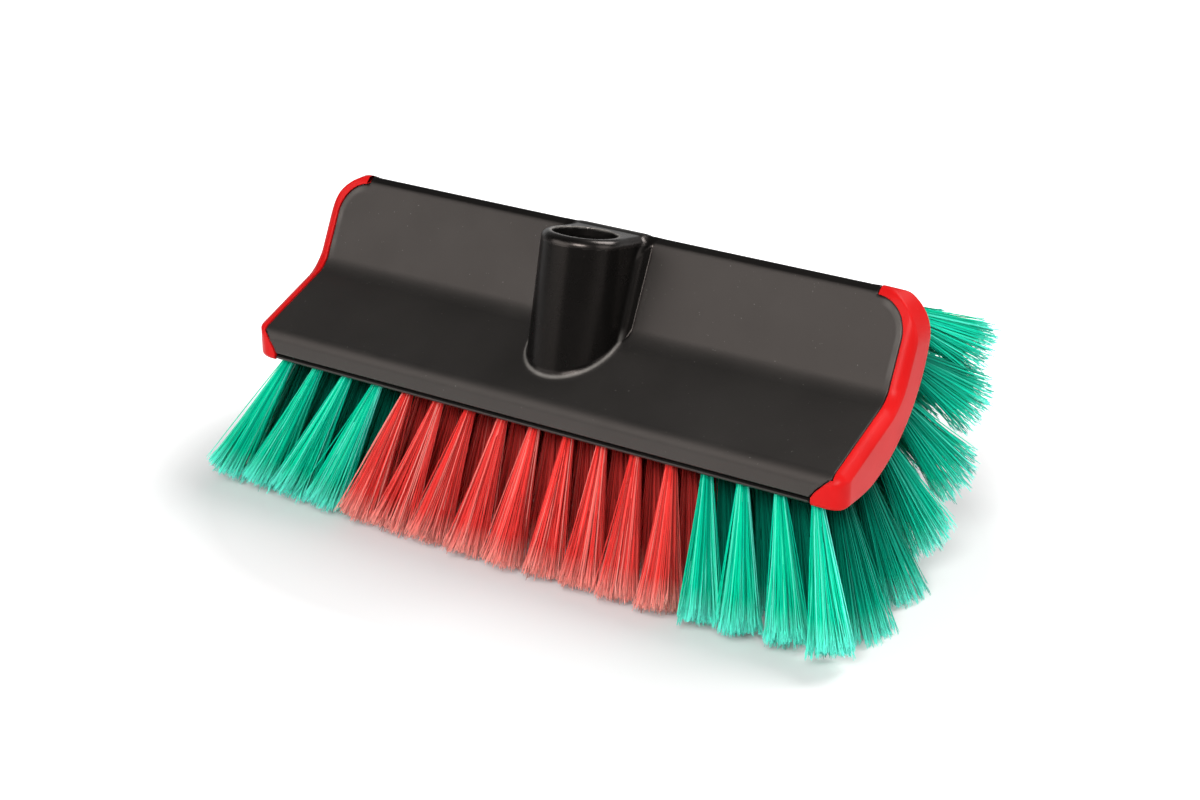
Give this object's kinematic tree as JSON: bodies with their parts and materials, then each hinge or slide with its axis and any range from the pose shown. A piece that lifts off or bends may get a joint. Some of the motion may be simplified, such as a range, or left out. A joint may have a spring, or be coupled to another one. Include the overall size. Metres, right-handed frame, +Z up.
{
  "type": "water-fed corner brush",
  "caption": "Bent brush block with a leaning pole socket, rubber end bumpers and a fan of flagged tufts in two colours, for washing across corners and edges with a water-fed pole.",
  "frame": {"origin": "centre of the footprint box, on the ground the tufts stand on", "axes": "+X along the brush, +Y to the rear edge, away from the front lip, +Z up"},
  "size_m": [0.2926, 0.1328, 0.1218],
  "materials": {
    "body_black": "satin moulded plastic",
    "bumper_red": "smooth soft rubber, slightly glossy",
    "washer_black": "matt rubber",
    "bristle_green": "extruded filaments with split tips",
    "bristle_red": "extruded filaments with split tips"
  },
  "bodies": {
    "root": {"cover_shell": "body_black", "bristle_base": "body_black", "left_bumper": "bumper_red", "right_bumper": "bumper_red", "socket_washer": "washer_black", "bristles_green_left": "bristle_green", "bristles_red": "bristle_red", "bristles_green_right": "bristle_green"}
  },
  "joints": []
}
